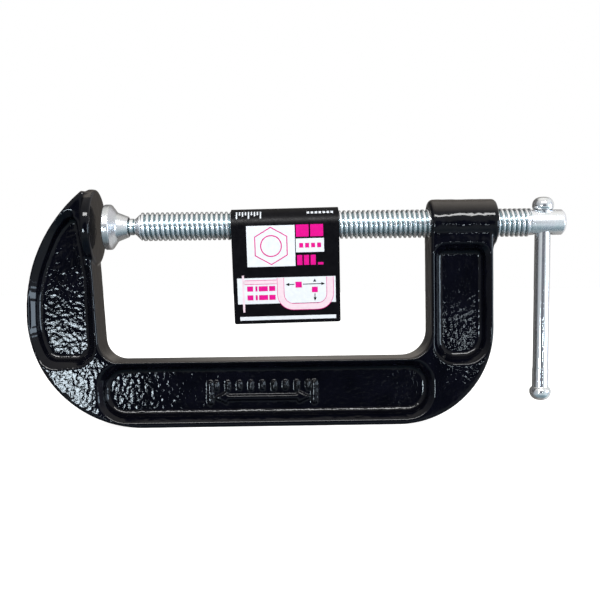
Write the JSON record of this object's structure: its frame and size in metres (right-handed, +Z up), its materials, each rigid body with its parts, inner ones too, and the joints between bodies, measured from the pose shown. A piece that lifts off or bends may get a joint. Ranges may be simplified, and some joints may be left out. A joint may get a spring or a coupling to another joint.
{
  "type": "c clamp",
  "caption": "C-shaped screw clamp: ribbed cast frame with a round anvil and tapped boss, threaded spindle with swivel pad, sliding tee bar and a card label folded over the screw.",
  "frame": {"origin": "centre of the anvil's flat face, on the screw axis", "axes": "+X along the screw axis from the anvil towards the tee bar, +Y across the frame's thickness, +Z up, away from the spine"},
  "size_m": [0.2723, 0.0384, 0.1206],
  "materials": {
    "black_enamel": "thick gloss black enamel over rough cast iron",
    "zinc_screw": "bright bluish zinc plating on a rolled thread",
    "zinc_bar": "bright plating on smooth drawn rod",
    "zinc_pad": "bright bluish zinc plating with fine turning marks",
    "printed_card": "satin coated card printed black, white and magenta"
  },
  "bodies": {
    "frame": {"frame_casting": "black_enamel"},
    "pad": {"swivel_pad": "zinc_pad"},
    "spindle": {"spindle": "zinc_screw"},
    "tee_bar": {"tee_bar": "zinc_bar"},
    "label": {"label_card": "printed_card"}
  },
  "joints": [
    {"name": "screw_advance", "type": "slide", "parent": "frame", "child": "pad", "axis": [1, 0, 0], "range_m": [-0.00375, 0.14625], "deforming": ["label_card"]},
    {"name": "screw_turn", "type": "hinge", "parent": "pad", "child": "spindle", "pos_m": [0.0102, 0, 0], "axis": [1, 0, 0], "range_deg": [-540, 21060]},
    {"name": "handle_slide", "type": "slide", "parent": "spindle", "child": "tee_bar", "axis": [0.0192, 0, 0.9998], "range_m": [0, 0.0785]},
    {"name": "label_swing", "type": "hinge", "parent": "frame", "child": "label", "pos_m": [0.09535, 0, 0], "axis": [1, 0, 0], "continuous": true}
  ],
  "couplings": [
    {"joint": "screw_advance", "follows": "screw_turn", "m_per_rad": 0.00039789}
  ]
}
